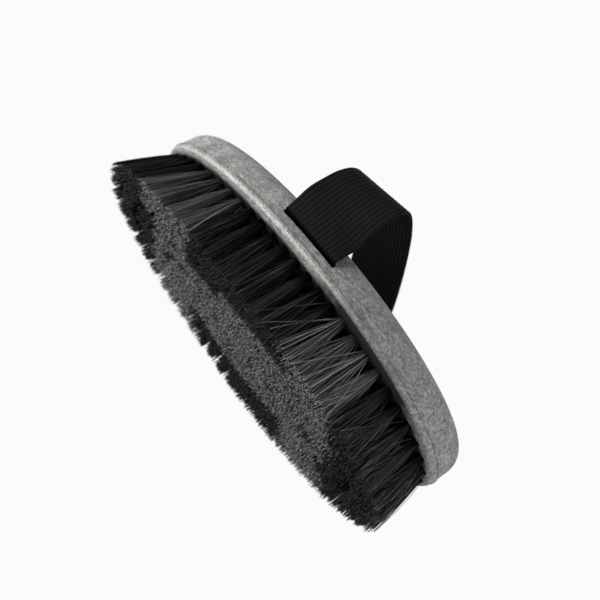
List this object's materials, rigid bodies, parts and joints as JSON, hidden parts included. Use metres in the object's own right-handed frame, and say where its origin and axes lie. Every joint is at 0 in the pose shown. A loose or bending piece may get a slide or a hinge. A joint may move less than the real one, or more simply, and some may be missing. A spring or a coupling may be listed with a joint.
{
  "type": "wheel brush",
  "caption": "Oval hand brush with a speckled grey block, an elastic hand strap over the back, and trimmed black and charcoal tufts.",
  "frame": {"origin": "centre of the plane that the tuft tips are trimmed to", "axes": "+Z from the tips to the strap, +X along the oval block, +Y across it"},
  "size_m": [0.1921, 0.1148, 0.079],
  "materials": {
    "speckled_block": "matt, mottled grey moulded composite",
    "strap_webbing": "ribbed black elastic webbing",
    "black_bristle": "satin black filament",
    "charcoal_bristle": "satin charcoal grey filament",
    "anchor_wire": "plain flat steel wire",
    "staple_wire": "galvanised steel wire"
  },
  "bodies": {
    "brush": {"block": "speckled_block", "strap_staples_near": "staple_wire", "strap_staples_far": "staple_wire", "tufts_black_end_left": "black_bristle", "anchors_black_end_left": "anchor_wire", "tufts_black_end_right": "black_bristle", "anchors_black_end_right": "anchor_wire", "tufts_black_side_near": "black_bristle", "anchors_black_side_near": "anchor_wire", "tufts_black_side_far": "black_bristle", "anchors_black_side_far": "anchor_wire", "tufts_charcoal_left_near": "charcoal_bristle", "anchors_charcoal_left_near": "anchor_wire", "tufts_charcoal_left_far": "charcoal_bristle", "anchors_charcoal_left_far": "anchor_wire", "tufts_charcoal_right_near": "charcoal_bristle", "anchors_charcoal_right_near": "anchor_wire", "tufts_charcoal_right_far": "charcoal_bristle", "anchors_charcoal_right_far": "anchor_wire", "tufts_charcoal_centre": "charcoal_bristle", "anchors_charcoal_centre": "anchor_wire"},
    "strap": {"hand_strap": "strap_webbing"}
  },
  "joints": [
    {"name": "strap_stretch", "type": "slide", "parent": "brush", "child": "strap", "axis": [0, 0, 1], "range_m": [-0.02, 0.012], "stiffness_N_per_m": 250, "deforming": ["hand_strap"]}
  ]
}
